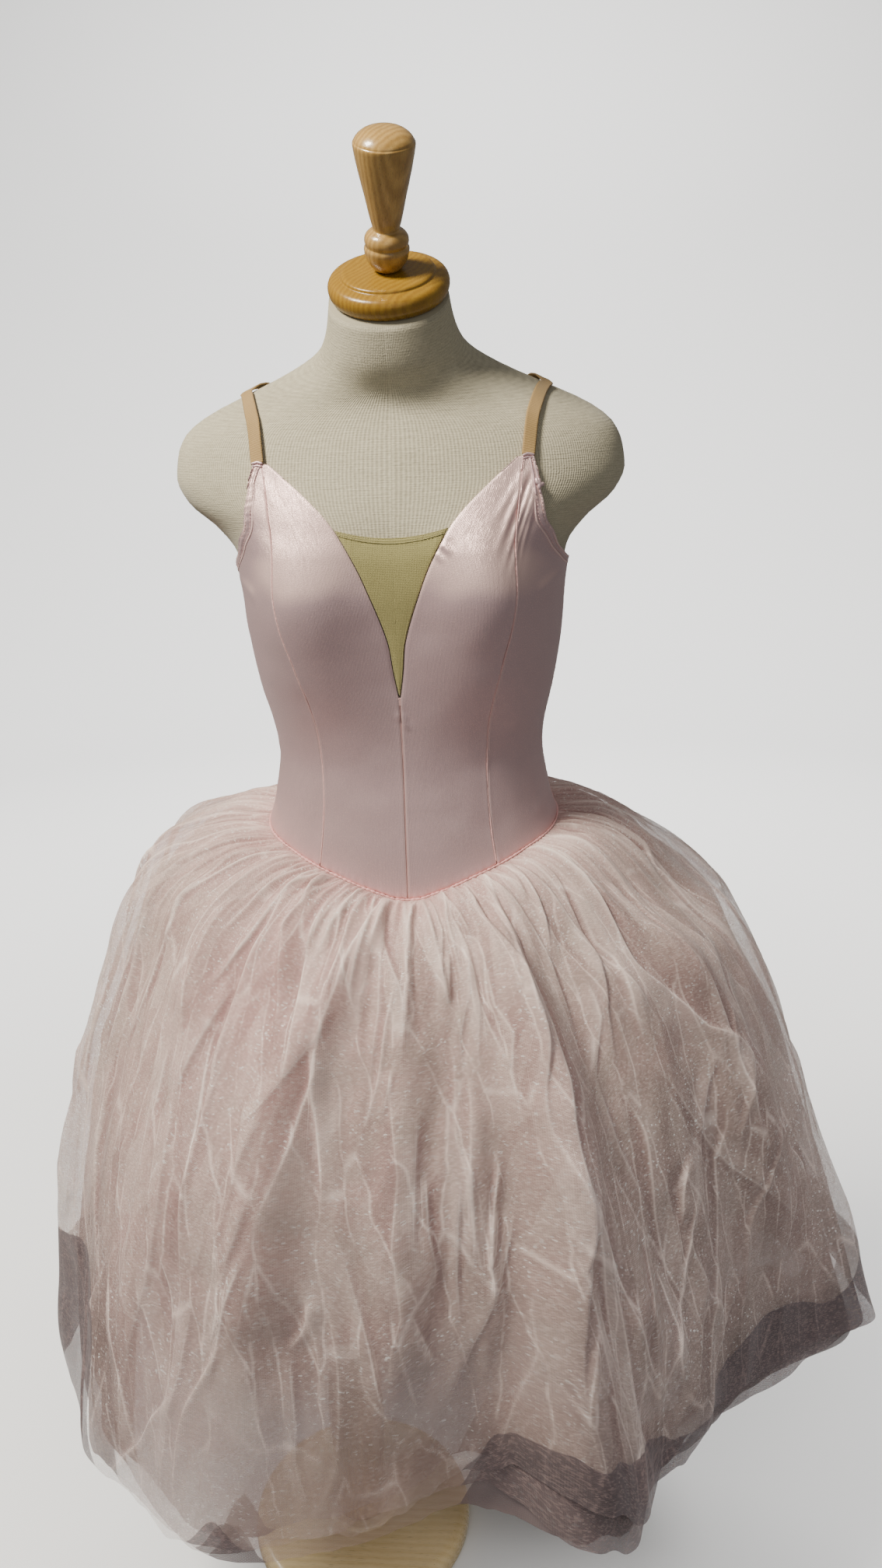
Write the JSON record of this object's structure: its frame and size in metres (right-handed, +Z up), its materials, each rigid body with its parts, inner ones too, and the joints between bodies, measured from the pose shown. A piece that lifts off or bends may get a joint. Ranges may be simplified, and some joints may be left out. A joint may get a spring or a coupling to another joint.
{
  "type": "romantic ballet tutu on a limbless dress form",
  "caption": "Long gathered net skirt in layers sewn to a fitted satin camisole bodice with a V insert and thin straps, worn by a jersey dress form on a turned wooden stand.",
  "frame": {"origin": "centre of the round base's underside, on the floor", "axes": "+Z up, the dress form faces -Y, its left side is towards +X"},
  "size_m": [0.8874, 0.6688, 1.5117],
  "materials": {
    "jersey": "cream knitted jersey, matt",
    "wood": "honey-coloured turned wood, glossy lacquer",
    "dark_wood": "reddish brown turned wood, lacquered",
    "rod_metal": "dark brushed steel",
    "satin": "shiny stretch satin, pale pink",
    "insert_net": "fine stretch net, olive tan",
    "elastic": "woven elastic, tan",
    "tulle": "sheer glitter tulle, pale pink"
  },
  "bodies": {
    "root": {"torso": "jersey", "neck_block": "wood", "finial": "wood", "base": "wood", "pole": "wood", "pole_collar": "dark_wood", "pole_rod": "rod_metal", "bodice_centre_front_left": "satin", "bodice_centre_front_right": "satin", "bodice_side_front_left": "satin", "bodice_side_front_right": "satin", "bodice_back": "satin", "v_insert": "insert_net", "strap_left": "elastic", "strap_right": "elastic", "skirt_top_front": "tulle", "skirt_top_back": "tulle", "skirt_second_front": "tulle", "skirt_second_back": "tulle", "skirt_third_front": "tulle", "skirt_third_back": "tulle", "skirt_under_front": "tulle", "skirt_under_back": "tulle"}
  },
  "joints": []
}
